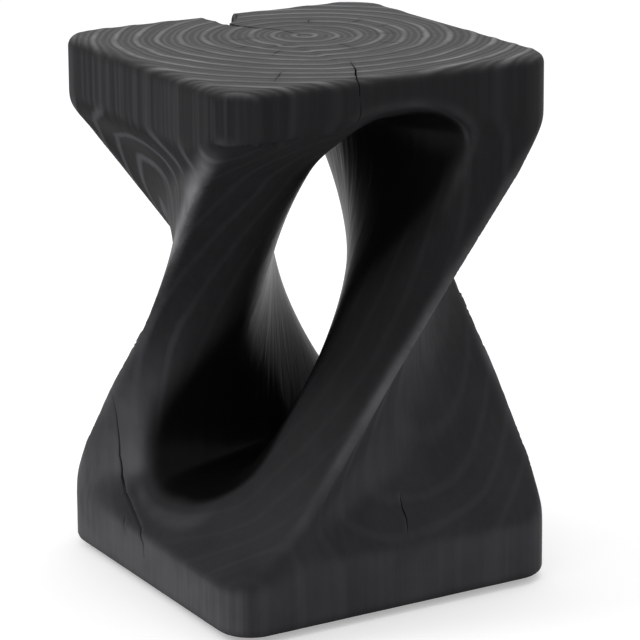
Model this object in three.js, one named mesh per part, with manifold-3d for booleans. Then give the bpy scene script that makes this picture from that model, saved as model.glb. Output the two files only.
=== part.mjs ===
// Carved wood stool: one block of log wood, a square seat slab and a square base slab joined by two
// thick legs that turn a quarter turn, with one twisted tunnel between the legs, on four floor glides.
// Millimetres, +Z up. The origin is the centre of the footprint, on the floor.
import * as THREE from 'three';
import { mergeVertices } from 'three/addons/utils/BufferGeometryUtils.js';
import Module from 'manifold-3d';

const wasm = await Module();
wasm.setup();

// The block
const SIDE = 305;
const BLOCK_HEIGHT = 445;
const BASE_SPREAD = 4;
const SEAT_CORNER_RADIUS = 36;
const BASE_CORNER_RADIUS = 32;
const SEAT_RIM_RADIUS = 9;
const BASE_RIM_RADIUS = 6;
const RIDGE_RADIUS = 8;
const CORNER_FADE = 55;
const BEND_LENGTH = 10;
const LEG_SCOOP = 14;
const MOUTH_SCOOP = 4;
const SCOOP_POWER = 3;
const SCOOP_FADE_SHARE = 1 / 5;
const CORNER_LIMIT_SHARE = 1 / 3;

// Each ridge leaves one corner crisply, this far in from the seat or base face, and runs in a straight
// line to the next corner, where it would end this far in from the other face but fades into the slab
const CRISP_WOOD = 49;
const FADED_WOOD = 10;
const SLAB_THICK = 42;
const SLAB_FADE = 50;
const CREASE_POWER = 2;

// The tunnel
const WAIST_WIDTH = 62;
const WAIST_SILL = 95;
const WAIST_CROWN = 52;
const WAIST_OFFSET = 4;
const WAIST_LEAN = 14;
const MOUTH_SILL = 60;
const MOUTH_CROWN = 26;
const LEG_FLANK = 38;
const TUNNEL_SQUARENESS = 2.4;
// The tunnel widens late on its way out, but early in two opposite corners of each mouth, its pockets
const FLARE_POWER = 4;
const POCKET_POWER = 1.5;
const POCKET_REACH_SHARE = 0.6;

// The drying split in the seat: a wide mouth at the back side, a neck, and a tip near the heart of the log
const SPLIT_MOUTH_WIDTH = 36;
const SPLIT_MOUTH_DEPTH = 46;
const SPLIT_NECK_WIDTH = 8;
const SPLIT_NECK_OFFSET = -12;
const SPLIT_TIP_WIDTH = 1.5;
const SPLIT_TIP_OFFSET = 17;
const SPLIT_DEPTH = 120;

// The floor glides
const GLIDE_INSET = 44;
const GLIDE_RADIUS = 11;
const GLIDE_THICK = 3.5;
const GLIDE_BEVEL = 1;
const FELT_RADIUS = 9;
const FELT_THICK = 2.5;
const FELT_RECESS = 1;
const NAIL_RADIUS = 1.2;
const NAIL_HEAD_RADIUS = 3.2;
const NAIL_HEAD_THICK = 1;
const NAIL_LENGTH = 17;
const NAIL_POINT = 3;
const CLEARANCE = 0.3;

// How finely the forms are divided, and how far the cuts run past the wood
const RING_STEP = 9;
const CORNER_STEPS = 4;
const LEG_SIDE_STEPS = 8;
const MOUTH_SIDE_STEPS = 14;
const RIM_STEPS = 3;
const TUNNEL_SIDES = 56;
const TUNNEL_STEPS = 16;
const ROUND_STEPS = 20;
const OVERRUN = 12;

// Sizes that follow
const HALF = SIDE / 2;
const STAND = GLIDE_THICK + FELT_THICK - FELT_RECESS;

// Each ridge runs across one side of the block, from a seat corner to the next base corner. They are
// listed in turn round the block. The side after a ridge is either a mouth of the tunnel or the outer
// face of a leg.
const beforeMouth = { start: FADED_WOOD, end: CRISP_WOOD, sideScoop: MOUTH_SCOOP, sideSteps: MOUTH_SIDE_STEPS };
const beforeLeg = { start: CRISP_WOOD, end: FADED_WOOD, sideScoop: LEG_SCOOP, sideSteps: LEG_SIDE_STEPS };
const RIDGES = [
  { from: [-1, -1], to: [-1, 1], ...beforeMouth },
  { from: [1, -1], to: [-1, -1], ...beforeLeg },
  { from: [1, 1], to: [1, -1], ...beforeMouth },
  { from: [-1, 1], to: [1, 1], ...beforeLeg },
];

const smooth = (x) => THREE.MathUtils.smoothstep(x, 0, 1);
// Rises from 0 at a crease and ends softly at 1
const creased = (x) => 1 - (1 - THREE.MathUtils.clamp(x, 0, 1)) ** CREASE_POWER;

// A length that stays at zero, then rises evenly, then stays at its full value, with soft bends
function bentTravel(distance, full) {
  const rise = (x) => {
    if (x <= -BEND_LENGTH) return 0;
    if (x >= BEND_LENGTH) return x;
    return (x + BEND_LENGTH) ** 2 / (4 * BEND_LENGTH);
  };
  return full - rise(full - rise(distance));
}

// Share of its way that a ridge has gone at a height of the block, from 0 at the seat to 1 at the base
function ridgeShare(ridge, z) {
  const full = BLOCK_HEIGHT - ridge.start - ridge.end;
  const travel = bentTravel(BLOCK_HEIGHT - ridge.start - z, full) / full;
  const belowSeat = creased((BLOCK_HEIGHT - SLAB_THICK - z) / SLAB_FADE);
  const aboveBase = creased((z - SLAB_THICK) / SLAB_FADE);
  return 1 - (1 - travel * belowSeat) * aboveBase;
}

function ridgePoint(ridge, z) {
  const share = ridgeShare(ridge, z);
  const reach = HALF + (BASE_SPREAD / 2) * (1 - z / BLOCK_HEIGHT);
  return new THREE.Vector2(...ridge.from).lerp(new THREE.Vector2(...ridge.to), share).multiplyScalar(reach);
}

// Radius of the vertical corner where the ridge passes: round at the slabs, crisp between them
function cornerRadius(ridge, z) {
  const share = ridgeShare(ridge, z);
  const slabRadius = share < 1 / 2 ? SEAT_CORNER_RADIUS : BASE_CORNER_RADIUS;
  const away = Math.min(BLOCK_HEIGHT - SLAB_THICK - z, z - SLAB_THICK) / CORNER_FADE;
  return THREE.MathUtils.lerp(slabRadius, RIDGE_RADIUS, smooth(away));
}

// One level outline of the block: four rounded corners joined by four sides that bow inwards
function blockOutline(z, inset) {
  const corners = RIDGES.map((ridge) => ridgePoint(ridge, z));
  const rounded = corners.map((corner, i) => {
    const toLast = corners[(i + 3) % 4].clone().sub(corner);
    const toNext = corners[(i + 1) % 4].clone().sub(corner);
    const shorter = Math.min(toLast.length(), toNext.length());
    toLast.normalize();
    toNext.normalize();
    const halfAngle = Math.acos(toLast.dot(toNext)) / 2;
    const inwards = toLast.clone().add(toNext).normalize();
    const tip = corner.clone().addScaledVector(inwards, inset / Math.sin(halfAngle));
    const wanted = Math.max(cornerRadius(RIDGES[i], z) - inset, RIDGE_RADIUS / 2) / Math.tan(halfAngle);
    const tangent = Math.min(wanted, shorter * CORNER_LIMIT_SHARE);
    const radius = tangent * Math.tan(halfAngle);
    const centre = tip.clone().addScaledVector(inwards, radius / Math.sin(halfAngle));
    const first = tip.clone().addScaledVector(toLast, tangent).sub(centre);
    const last = tip.clone().addScaledVector(toNext, tangent).sub(centre);
    const sweep = Math.PI - 2 * halfAngle;
    return { centre, radius, startAngle: first.angle(), sweep, end: last.add(centre), start: first.clone().add(centre) };
  });
  const points = [];
  rounded.forEach((corner, i) => {
    for (let step = 0; step <= CORNER_STEPS; step += 1) {
      const angle = corner.startAngle + (corner.sweep * step) / CORNER_STEPS;
      points.push(new THREE.Vector2(Math.cos(angle), Math.sin(angle)).multiplyScalar(corner.radius).add(corner.centre));
    }
    const next = rounded[(i + 1) % 4];
    const along = next.start.clone().sub(corner.end);
    const inwards = new THREE.Vector2(-along.y, along.x).normalize();
    const share = (ridgeShare(RIDGES[i], z) + ridgeShare(RIDGES[(i + 1) % 4], z)) / 2;
    const depth = RIDGES[i].sideScoop * smooth(Math.min(share, 1 - share) / SCOOP_FADE_SHARE);
    for (let step = 1; step < RIDGES[i].sideSteps; step += 1) {
      const way = step / RIDGES[i].sideSteps;
      const bow = depth * (1 - Math.abs(2 * way - 1) ** SCOOP_POWER);
      points.push(corner.end.clone().addScaledVector(along, way).addScaledVector(inwards, bow));
    }
  });
  return points.map((point) => new THREE.Vector3(point.x, point.y, z));
}

// A closed skin over rings of equal count, closed by a fan from each end ring to its own tip. The rings
// run anticlockwise seen from the end that they climb to.
function loftGeometry(rings, firstTip, lastTip) {
  const count = rings[0].length;
  const points = [...rings.flat(), firstTip, lastTip];
  const lastRing = (rings.length - 1) * count;
  const firstMiddle = rings.length * count;
  const index = [];
  for (let i = 0; i < count; i += 1) {
    const next = (i + 1) % count;
    for (let row = 0; row < lastRing; row += count) {
      index.push(row + i, row + next, row + count + next, row + i, row + count + next, row + count + i);
    }
    index.push(firstMiddle, next, i, firstMiddle + 1, lastRing + i, lastRing + next);
  }
  const geometry = new THREE.BufferGeometry().setFromPoints(points);
  geometry.setIndex(index);
  return geometry;
}

function toSolid(geometry) {
  const bare = geometry.clone();
  bare.deleteAttribute('normal');
  bare.deleteAttribute('uv');
  const merged = mergeVertices(bare);
  const vertProperties = new Float32Array(merged.attributes.position.array);
  const triVerts = new Uint32Array(merged.index.array);
  return new wasm.Manifold(new wasm.Mesh({ numProp: 3, vertProperties, triVerts }));
}

function toGeometry(solid) {
  const mesh = solid.getMesh();
  const geometry = new THREE.BufferGeometry();
  geometry.setAttribute('position', new THREE.BufferAttribute(mesh.vertProperties, 3));
  geometry.setIndex(new THREE.BufferAttribute(mesh.triVerts, 1));
  geometry.computeVertexNormals();
  return geometry;
}

// The block before it is cut: level outlines from the base rim to the seat rim
function blockGeometry() {
  const rings = [];
  for (let step = 0; step < RIM_STEPS; step += 1) {
    const angle = (Math.PI / 2) * (step / RIM_STEPS);
    rings.push(blockOutline(BASE_RIM_RADIUS * (1 - Math.cos(angle)), BASE_RIM_RADIUS * (1 - Math.sin(angle))));
  }
  const low = BASE_RIM_RADIUS;
  const high = BLOCK_HEIGHT - SEAT_RIM_RADIUS;
  const steps = Math.round((high - low) / RING_STEP);
  for (let step = 0; step <= steps; step += 1) rings.push(blockOutline(low + ((high - low) * step) / steps, 0));
  for (let step = 1; step <= RIM_STEPS; step += 1) {
    const angle = (Math.PI / 2) * (step / RIM_STEPS);
    rings.push(blockOutline(high + SEAT_RIM_RADIUS * Math.sin(angle), SEAT_RIM_RADIUS * (1 - Math.cos(angle))));
  }
  return loftGeometry(rings, new THREE.Vector3(0, 0, 0), new THREE.Vector3(0, 0, BLOCK_HEIGHT));
}

// A point of the tunnel's wall. The tunnel's own axis goes through the middles of the block's front and
// back sides at every height, so it turns with them. reachShare runs from -1 at the back mouth through 0
// at the waist to 1 at the front mouth, and angle goes round the opening, which is a squarish oval that
// widens to the mouths. The waist is carved a little off the middle, and leans.
function tunnelPoint(reachShare, angle, past) {
  const power = 2 / TUNNEL_SQUARENESS;
  const across = Math.sign(Math.cos(angle)) * Math.abs(Math.cos(angle)) ** power;
  const up = Math.sign(Math.sin(angle)) * Math.abs(Math.sin(angle)) ** power;
  const intoCorner = Math.sign(reachShare) * across * up;
  const pocketShare = THREE.MathUtils.smoothstep(intoCorner, 0, POCKET_REACH_SHARE);
  const flareShare = Math.abs(reachShare) ** THREE.MathUtils.lerp(FLARE_POWER, POCKET_POWER, pocketShare);
  const low = THREE.MathUtils.lerp(WAIST_SILL, MOUTH_SILL, flareShare);
  const high = BLOCK_HEIGHT - THREE.MathUtils.lerp(WAIST_CROWN, MOUTH_CROWN, flareShare);
  const z = THREE.MathUtils.clamp((low + high) / 2 + ((high - low) / 2) * up, 0, BLOCK_HEIGHT);
  const [left, right] = RIDGES.map((ridge) => ridgePoint(ridge, z));
  const side = right.clone().sub(left);
  const mouthHalf = side.length() / 2 - LEG_FLANK;
  const waistTop = BLOCK_HEIGHT - WAIST_CROWN;
  const leanShare = (z - (WAIST_SILL + waistTop) / 2) / (waistTop - WAIST_SILL);
  const waistMiddle = (WAIST_OFFSET + WAIST_LEAN * leanShare) * (1 - flareShare);
  const sideways = THREE.MathUtils.lerp(WAIST_WIDTH / 2, mouthHalf, flareShare) * across + waistMiddle;
  const normal = new THREE.Vector2(side.y, -side.x).normalize();
  const out = left.clone().add(right).normalize();
  const offset = new THREE.Vector2(-out.y, out.x).multiplyScalar(sideways);
  const toSkin = (left.dot(normal) - Math.sign(reachShare) * offset.dot(normal)) / out.dot(normal);
  return new THREE.Vector3(...out.multiplyScalar(toSkin * reachShare + past).add(offset), z);
}

// The tunnel, from past the back mouth to past the front mouth, with closer steps towards the mouths
function tunnelGeometry() {
  const ring = (reachShare, past) => Array.from({ length: TUNNEL_SIDES }, (_, i) => (
    tunnelPoint(reachShare, (2 * Math.PI * i) / TUNNEL_SIDES, past)));
  const rings = [ring(-1, -OVERRUN)];
  for (let step = 0; step <= TUNNEL_STEPS; step += 1) {
    const reachShare = -Math.cos((Math.PI * step) / TUNNEL_STEPS);
    rings.push(ring(reachShare, 0));
  }
  rings.push(ring(1, OVERRUN));
  const tip = new THREE.Vector3(-SIDE, -SIDE, BLOCK_HEIGHT / 2);
  return loftGeometry(rings, new THREE.Vector3(SIDE, SIDE, BLOCK_HEIGHT / 2), tip);
}

// The drying split, seen from above: the mouth narrows in a curve to the neck, and the neck to the tip.
// It goes down through the wood over the tunnel.
function splitGeometry() {
  const mouth = HALF + OVERRUN;
  const neck = HALF - SPLIT_MOUTH_DEPTH;
  const tip = HALF - SPLIT_DEPTH;
  const neckLeft = SPLIT_NECK_OFFSET - SPLIT_NECK_WIDTH / 2;
  const neckRight = SPLIT_NECK_OFFSET + SPLIT_NECK_WIDTH / 2;
  const shape = new THREE.Shape();
  shape.moveTo(-SPLIT_MOUTH_WIDTH / 2, mouth);
  shape.quadraticCurveTo(neckLeft, (mouth + neck) / 2, neckLeft, neck);
  shape.lineTo(SPLIT_TIP_OFFSET - SPLIT_TIP_WIDTH / 2, tip);
  shape.lineTo(SPLIT_TIP_OFFSET + SPLIT_TIP_WIDTH / 2, tip);
  shape.lineTo(neckRight, neck);
  shape.quadraticCurveTo(SPLIT_MOUTH_WIDTH / 2, (HALF + neck) / 2, SPLIT_MOUTH_WIDTH / 2, mouth);
  shape.closePath();
  const depth = WAIST_CROWN + SPLIT_MOUTH_DEPTH + OVERRUN;
  const geometry = new THREE.ExtrudeGeometry(shape, { depth, bevelEnabled: false, curveSegments: CORNER_STEPS });
  return geometry.translate(0, 0, BLOCK_HEIGHT + OVERRUN - depth);
}

function roundSolid(profile) {
  return new THREE.LatheGeometry(profile.map(([r, z]) => new THREE.Vector2(r, z)), ROUND_STEPS).rotateX(Math.PI / 2);
}

// A glide's profiles run from its foot upwards, at the glide's own axis, with zero on the floor
const feltTop = FELT_THICK;
const glideFoot = FELT_THICK - FELT_RECESS;
const nailHeadTop = feltTop + NAIL_HEAD_THICK;
const nailTop = feltTop + NAIL_LENGTH;
const holeRadius = NAIL_RADIUS + CLEARANCE;

const feltProfile = [[0, 0], [FELT_RADIUS, 0], [FELT_RADIUS, feltTop], [0, feltTop]];
const glideProfile = [
  [FELT_RADIUS + CLEARANCE, glideFoot],
  [GLIDE_RADIUS, glideFoot],
  [GLIDE_RADIUS, STAND - GLIDE_BEVEL],
  [GLIDE_RADIUS - GLIDE_BEVEL, STAND],
  [holeRadius, STAND],
  [holeRadius, nailHeadTop],
  [NAIL_HEAD_RADIUS + CLEARANCE, nailHeadTop],
  [NAIL_HEAD_RADIUS + CLEARANCE, feltTop],
  [FELT_RADIUS + CLEARANCE, feltTop],
  [FELT_RADIUS + CLEARANCE, glideFoot],
];
const nailProfile = [
  [0, feltTop],
  [NAIL_HEAD_RADIUS, feltTop],
  [NAIL_HEAD_RADIUS, nailHeadTop],
  [NAIL_RADIUS, nailHeadTop],
  [NAIL_RADIUS, nailTop - NAIL_POINT],
  [0, nailTop],
];
const nailHoleProfile = [
  [0, STAND - OVERRUN],
  [holeRadius, STAND - OVERRUN],
  [holeRadius, nailTop + CLEARANCE],
  [0, nailTop + CLEARANCE],
];

const glideReach = HALF - GLIDE_INSET;
const glidePlaces = [[-1, -1], [1, -1], [1, 1], [-1, 1]].map(([x, y]) => [x * glideReach, y * glideReach]);

// Materials
const blackWood = new THREE.MeshStandardMaterial({ color: 0x1c1b1c, roughness: 0.62, metalness: 0 });
const nylon = new THREE.MeshStandardMaterial({ color: 0x17171a, roughness: 0.5, metalness: 0 });
const steel = new THREE.MeshStandardMaterial({ color: 0x9a9a9e, roughness: 0.35, metalness: 1 });
const felt = new THREE.MeshStandardMaterial({ color: 0x4a3f36, roughness: 0.95, metalness: 0 });

function piece(name, geometry, material) {
  const mesh = new THREE.Mesh(geometry, material);
  mesh.name = name;
  return mesh;
}

function carvedBody() {
  const uncut = toSolid(blockGeometry());
  const holes = glidePlaces.map(([x, y]) => toSolid(roundSolid(nailHoleProfile).translate(x, y, -STAND)));
  const cuts = [toSolid(tunnelGeometry()), toSolid(splitGeometry()), ...holes];
  const body = cuts.reduce((solid, cut) => solid.subtract(cut), uncut);
  const mesh = piece('carved_body', toGeometry(body), blackWood);
  mesh.position.z = STAND;
  return mesh;
}

const stool = new THREE.Group();
stool.name = 'wood_stool';
stool.add(carvedBody());
glidePlaces.forEach(([x, y], i) => {
  const glide = new THREE.Group();
  glide.add(piece(`glide_base_${i + 1}`, roundSolid(glideProfile), nylon));
  glide.add(piece(`glide_nail_${i + 1}`, roundSolid(nailProfile), steel));
  glide.add(piece(`glide_felt_${i + 1}`, roundSolid(feltProfile), felt));
  glide.position.set(x, y, 0);
  stool.add(glide);
});

export default stool;
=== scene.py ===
"""Carved wood stool: a twisted block of black-stained log wood with one open tunnel, on four glides."""

import math

import bmesh
import bpy
import numpy as np
from bpy.props import FloatProperty, FloatVectorProperty, IntProperty, PointerProperty
from mathutils import Matrix, Vector


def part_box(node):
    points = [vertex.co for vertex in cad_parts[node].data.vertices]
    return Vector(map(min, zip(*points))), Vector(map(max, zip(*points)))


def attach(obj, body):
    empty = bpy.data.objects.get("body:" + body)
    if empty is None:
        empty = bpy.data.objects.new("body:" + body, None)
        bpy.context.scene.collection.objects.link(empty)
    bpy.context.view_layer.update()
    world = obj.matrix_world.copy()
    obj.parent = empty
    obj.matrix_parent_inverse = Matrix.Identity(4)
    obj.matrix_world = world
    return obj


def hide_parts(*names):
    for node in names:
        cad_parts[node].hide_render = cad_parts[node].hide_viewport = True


bl_info = {
    "name": "Carved Twist Stool",
    "version": (1, 0, 0),
    "blender": (4, 5, 0),
    "location": "3D View > Sidebar > Stool",
    "description": "Makes a carved wood stool with growth rings, a drying split and floor glides",
    "category": "Add Mesh",
}

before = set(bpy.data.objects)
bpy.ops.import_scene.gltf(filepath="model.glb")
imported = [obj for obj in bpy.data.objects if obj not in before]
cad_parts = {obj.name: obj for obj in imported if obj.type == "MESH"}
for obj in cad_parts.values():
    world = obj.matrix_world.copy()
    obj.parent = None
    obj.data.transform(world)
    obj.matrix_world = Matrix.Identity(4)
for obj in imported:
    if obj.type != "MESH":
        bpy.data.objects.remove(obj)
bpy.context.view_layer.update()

MM = 0.001
BODY_LOW, BODY_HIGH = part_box("carved_body")
GLIDES = range(1, 5)


def length(name, description, millimetres):
    return FloatProperty(
        name=name, description=description, default=millimetres * MM, unit="LENGTH", subtype="DISTANCE"
    )


def share(name, description, default):
    return FloatProperty(name=name, description=description, default=default, min=0, max=1, subtype="FACTOR")


def number(name, description, default):
    return FloatProperty(name=name, description=description, default=default)


def colour(name, description, default):
    return FloatVectorProperty(
        name=name, description=description, default=default, size=3, min=0, max=1, subtype="COLOR"
    )


class StoolBodySizes(bpy.types.PropertyGroup):
    """Sizes of the carved block. Heights in the wood are measured from its own underside"""

    stand: length("Stand height", "Height of the floor glides under the wood", BODY_LOW.z / MM)
    block_height: length("Block height", "Height of the wood", (BODY_HIGH.z - BODY_LOW.z) / MM)
    side: length("Seat side", "Side of the square seat", 305)
    base_spread: length("Base spread", "How much wider the base is than the seat", 4)
    seat_corner: length("Seat corner radius", "Radius of the seat's upright corners", 36)
    base_corner: length("Base corner radius", "Radius of the base's upright corners", 32)
    seat_rim: length("Seat rim radius", "Rounding of the seat's upper edge", 9)
    base_rim: length("Base rim radius", "Rounding of the base's lower edge", 6)
    ridge_radius: length("Ridge radius", "Rounding of the ridges between the slabs", 8)
    corner_fade: length("Corner fade", "Height in which a corner turns into a ridge", 55)
    bend: length("Bend length", "How softly a ridge starts and ends", 10)
    leg_scoop: length("Leg scoop", "Hollow in the outer face of each leg", 14)
    mouth_scoop: length("Mouth scoop", "Hollow in the sides that the tunnel opens in", 4)
    scoop_power: number("Scoop power", "Two hollows a face evenly, more makes its floor flatter", 3)
    crisp_wood: length("Wood at a crisp end", "Slab height left where a ridge starts crisply", 49)
    faded_wood: length("Wood at a faded end", "Slab height left where a ridge fades", 10)
    slab: length("Slab thickness", "Thickness of the seat and base slabs", 42)
    slab_fade: length("Slab fade", "Height in which the slabs turn into the legs", 50)
    crease_power: number("Crease power", "How crisp the crease is where they start to turn", 2)
    waist_width: length("Waist width", "Width of the tunnel in the middle of the wood", 62)
    waist_sill: length("Waist sill", "Wood under the tunnel in the middle", 95)
    waist_crown: length("Waist crown", "Wood over the tunnel in the middle", 52)
    waist_offset: length("Waist offset", "How far the tunnel's middle is carved off the centre", 4)
    waist_lean: length("Waist lean", "How far the tunnel's middle leans sideways over its height", 14)
    mouth_sill: length("Mouth sill", "Wood under each mouth of the tunnel", 60)
    mouth_crown: length("Mouth crown", "Wood over each mouth of the tunnel", 26)
    leg_flank: length("Leg flank", "Wood beside each mouth of the tunnel", 38)
    squareness: number("Tunnel squareness", "Two makes an oval, more makes it squarer", 2.4)
    flare_power: number("Flare power", "How late the tunnel widens to its mouths", 4)
    pocket_power: number("Pocket power", "The same in the two deep corners of each mouth", 1.5)
    pocket_reach: share("Pocket reach", "How near such a corner the pocket is full", 0.6)
    rolled_edge: length("Rolled edge", "Rounding of each mouth where it runs into a soft flank", 24)
    firm_edge: length("Firm edge", "Rounding of each mouth beside a crisp ridge", 12)
    arch_edge: length("Arch edge", "Rounding of each mouth at its arch, sill and pockets", 3)
    voxel: length("Carving grain", "Spacing of the points that the surface is made from", 3.3)


class StoolWoodLook(bpy.types.PropertyGroup):
    """Growth rings and stain of the wood, with painted shade, painted highlights and painted bounce light"""

    heart_x: length("Heart X", "Place of the log's heart across the seat", 18)
    heart_y: length("Heart Y", "Place of the log's heart along the seat", 26)
    ring_spacing: length("Ring spacing", "Distance between broad growth rings", 18.5)
    ring_wave: length("Ring wave", "How far the rings wander", 7)
    ring_relief: length("Ring relief", "How far the hard rings stand out of the brushed wood", 0.5)
    worn_edge: length("Worn edge", "Width of the paler wear along the edges", 4.5)
    # Painted highlight along the rims of the hollows under the seat
    rim_highlight_width: length("Rim highlight width", "Width of the painted highlight along the rims of the hollows under the seat", 46)
    pocket_shade: length("Pocket shade", "How far in from the skin a deep corner of the tunnel is black", 11)
    # Paler foot: scuffs, and painted bounce light off the floor, most on the upright leg sides
    scuff_and_bounce: length("Pale foot", "Height up to which the foot is paler, from scuffs and from painted bounce light off the floor", 330)
    stain: colour("Stain", "Black stain in the soft wood", (0.014, 0.014, 0.0152))
    thin_stain: colour("Thin stain", "Black stain on the hard fibres", (0.085, 0.085, 0.092))
    # Painted shade: black where shade falls, deep in the tunnel and on the upward slopes of the leg sides
    painted_shade: colour("Painted shade", "Black painted shade inside the tunnel and on the upward slopes of the leg sides", (0.003, 0.003, 0.003))
    arc_wood: colour("Arc wood", "Pale arcs of the rings under the seat", (0.065, 0.064, 0.07))
    seat_wood: colour("Seat wood", "End grain of the seat, rubbed by use", (0.056, 0.056, 0.057))
    ring_wood: colour("Ring wood", "Hard rings of the seat, that the stain takes badly", (0.22, 0.22, 0.223))
    # Pale edges: wear at the tunnel's mouth, and a painted highlight on the ridges and the rims of the
    # hollows
    bare_wood_and_highlight: colour("Bare wood and highlight", "Where the stain is rubbed off the mouth's edges, and painted highlight on the ridges and rims", (0.25, 0.25, 0.26))


class StoolCutSizes(bpy.types.PropertyGroup):
    """Sizes of the drying split, the cracks and the nail holes, which are cut into the carved body"""

    split_depth: length("Split depth", "How far down from the seat the drying split goes", 103)
    crack_width: length("Crack width", "Widest part of the drying cracks", 1.6)
    check_width: length("Check width", "Widest part of the small drying checks in the seat", 0.9)
    check_depth: length("Check depth", "Depth of the cracks and checks in the seat", 14)
    checks: IntProperty(name="Checks", description="Number of small checks in the seat", default=12, min=0)
    seed: IntProperty(name="Seed", description="Seed of the places of the small checks", default=3)
    nail_hole: length("Nail hole", "Radius of the hole for each glide's nail", 1.5)
    nail_depth: length("Nail depth", "Depth of the hole for each glide's nail", 15)


class StoolGlideLook(bpy.types.PropertyGroup):
    """Finishes of the floor glides"""

    nylon: colour("Nylon", "Black nylon that the glides are moulded from", (0.02, 0.02, 0.022))
    steel: colour("Steel", "Bright steel of the nails", (0.6, 0.6, 0.62))
    felt: colour("Felt", "Brown felt of the pads", (0.07, 0.05, 0.04))


class StoolStageLook(bpy.types.PropertyGroup):
    """Camera and light"""

    azimuth: number("Azimuth", "Direction of the camera round the stool, in degrees", -30.101)
    elevation: number("Elevation", "Height of the camera over the horizon, in degrees", 15.81)
    roll: number("Roll", "Roll of the camera, in degrees", -0.368)
    distance: length("Distance", "From the camera to the middle of the wood", 2561.5)
    lens: number("Lens", "Focal length in millimetres, on a sensor 36 mm wide", 171.48)
    aim_x: number("Aim X", "Pixel of the photograph's frame that the middle of the wood falls on", 303.704)
    aim_y: number("Aim Y", "Pixel row that the middle of the wood falls on", 303.254)
    floor: colour("Floor", "Pale floor", (0.85, 0.85, 0.85))
    floor_lift: number("Floor lift", "Light that the floor adds where it is seen, to be white", 0.35)
    sky: number("Sky", "Strength of the soft light all round", 0.7)


# How the block is worked out and its skin is made
SLOPE_STEP = 0.5 * MM
CUBIC_ROUNDING = 2.5
SCOOP_FADE_SHARE = 0.2
PAST_SKIN_SHARE = 1.4
SKIN_DENSITY = 0.5
SANDING_ROUNDS = 5
SETTLING_ROUNDS = 2
MARK_ROUNDS = 2
CREASE_ANGLE = math.radians(70)

# Growth rings: how they wander, how wide they stand and how much they do so on the sides
RING_CLIMB = 0.25
RING_WANDERS = (9, 2), (40, 0.4)
RING_FLAT_SHARE = 0.1
RELIEF_CREST = 0.3
SIDE_RELIEF_SHARE = 0.12

# Stretches of a mouth's width, from -1 at its soft flank to 1 beside its crisp ridge
ROLLED_FLANK = -0.9, -0.3
FIRM_FLANK = 0.3, 0.9
RIM_FLANK = 0.3, -0.3

# Slants of the skin, by how much of its normal points up, down or to the side
END_GRAIN_SLANT = 0.5, 0.9
LEG_SIDE_SLANT = 0.3, 0.9
UPRIGHT_SLANT = 0.35, 0.1
OVERHANG_SLANT = 0.1, 0.4
SLOPE_SLANT = 0.15, 0.5

# Stretches of the tunnel: out from its middle, down to its sill, and round it
WAIST_STRETCH = 0.35, 0.1
SILL_STRETCH = 0.45, 0.85
TUNNEL_BORDER = 60 * MM, 20 * MM

# Pale edges: wear at the mouth, painted highlights on the ridges and the rims of the hollows, and the shares
# of the block, the slab and the ridge radius that they fade over
MOUTH_WEAR = 0.14
RIDGE_HIGHLIGHT = 0.65
FOOT_RIDGE_HIGHLIGHT = 0.15
FOOT_TOP = 0.2, 0.45
HOLLOW_FLOOR = 0.42, 0.3
HOLLOW_ROOF = 1.05, 1.5
RIDGE_BAND = -1.6, -0.2

# Cuts: how far they run out past the skin, and the sides of a round one
CUT_OVERRUN = 12 * MM
CRACK_OVERRUN = 10 * MM
NAIL_HOLE_SIDES = 16

# Small checks of the seat, in degrees round the log's heart and millimetres from it
CHECK_TURNS = -80, 250
CHECK_JITTER = 5
CHECK_BEND = 2
CHECK_STARTS = 28, 70
CHECK_LENGTHS = 14, 30
CLEAR_TURNS = (75, 150), (235, 260)


class Term:
    """A number in a node tree. The usual signs on it make Math nodes"""

    def __init__(self, socket):
        self.socket = socket
        self.tree = socket.id_data

    def __add__(self, other):
        return calc("ADD", self, other)

    def __radd__(self, other):
        return calc("ADD", other, self)

    def __sub__(self, other):
        return calc("SUBTRACT", self, other)

    def __rsub__(self, other):
        return calc("SUBTRACT", other, self)

    def __mul__(self, other):
        return calc("MULTIPLY", self, other)

    def __rmul__(self, other):
        return calc("MULTIPLY", other, self)

    def __truediv__(self, other):
        return calc("DIVIDE", self, other)

    def __rtruediv__(self, other):
        return calc("DIVIDE", other, self)

    def __pow__(self, other):
        return calc("POWER", self, other)

    def __neg__(self):
        return calc("MULTIPLY", self, -1)


def plug(tree, socket, value):
    """Gives an input socket a value, or a link where the value is a Term"""
    if isinstance(value, Term):
        tree.links.new(value.socket, socket)
    else:
        socket.default_value = value


def calc(operation, *values):
    tree = next(value.tree for value in values if isinstance(value, Term))
    node = tree.nodes.new("ShaderNodeMath")
    node.operation = operation
    for socket, value in zip(node.inputs, values):
        plug(tree, socket, value)
    return Term(node.outputs[0])


def largest(first, *others):
    for other in others:
        first = calc("MAXIMUM", first, other)
    return first


def hypotenuse(*sides):
    return calc("SQRT", sum(side * side for side in sides))


def remap(value, from_low, from_high, to_low=0, to_high=1):
    """Takes a value from one range to another, easing in and out of it, and stays inside it"""
    node = value.tree.nodes.new("ShaderNodeMapRange")
    node.interpolation_type = "SMOOTHSTEP"
    places = ("From Min", from_low), ("From Max", from_high), ("To Min", to_low), ("To Max", to_high)
    for name, given in (("Value", value), *places):
        plug(value.tree, node.inputs[name], given)
    return Term(node.outputs["Result"])


def mixed(low, high, amount):
    return low + (high - low) * amount


def split_vector(vector):
    node = vector.tree.nodes.new("ShaderNodeSeparateXYZ")
    plug(vector.tree, node.inputs[0], vector)
    return [Term(socket) for socket in node.outputs]


def join_vector(tree, *values):
    node = tree.nodes.new("ShaderNodeCombineXYZ")
    for socket, value in zip(node.inputs, values):
        plug(tree, socket, value)
    return Term(node.outputs[0])


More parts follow.
